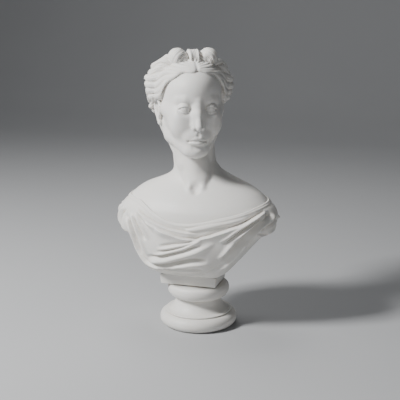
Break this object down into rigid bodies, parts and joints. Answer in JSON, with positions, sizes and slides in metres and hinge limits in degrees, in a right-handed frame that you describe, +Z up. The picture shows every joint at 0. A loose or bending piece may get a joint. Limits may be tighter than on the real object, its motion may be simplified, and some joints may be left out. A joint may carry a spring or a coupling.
{
  "type": "portrait bust",
  "caption": "Draped woman's bust in matt white marble-like bisque, hollow cast, held on a turned round socle by a central tie rod that it can turn about.",
  "frame": {"origin": "middle of the socle's foot, on the axis of the tie rod, at the level of the surface it stands on", "axes": "+Z up along the tie rod; the front of the plinth block and of the body faces -Y; +X is the bust's own left"},
  "size_m": [0.221, 0.1284, 0.38],
  "materials": {
    "foot_bisque": "matt unglazed white bisque, turned, rubbed smooth",
    "block_bisque": "matt unglazed white bisque, flat sanded faces",
    "drapery_bisque": "matt unglazed white bisque with a faint marble-like sheen",
    "skin_bisque": "smooth matt white bisque with a faint marble-like sheen",
    "hair_bisque": "matt white bisque, finely tooled",
    "plaster": "rough set plaster",
    "iron": "dark wrought iron, lightly rusted",
    "leather": "oak tanned leather, oiled",
    "cork": "pressed cork"
  },
  "bodies": {
    "socle": {"socle": "foot_bisque", "leather_washer": "leather", "bedding_washer": "cork"},
    "bust": {"plinth_block": "block_bisque", "drapery": "drapery_bisque", "head_and_shoulders": "skin_bisque", "right_roll": "hair_bisque", "middle_knot": "hair_bisque", "left_roll": "hair_bisque", "chignon": "hair_bisque", "plaster_setting": "plaster", "anchor_nut": "iron", "tie_rod": "iron", "clamp_nut": "iron", "iron_washer": "iron"}
  },
  "joints": [
    {"name": "bust_turn", "type": "hinge", "parent": "socle", "child": "bust", "pos_m": [0, 0, 0.059], "axis": [0, 0, 1], "continuous": true}
  ]
}
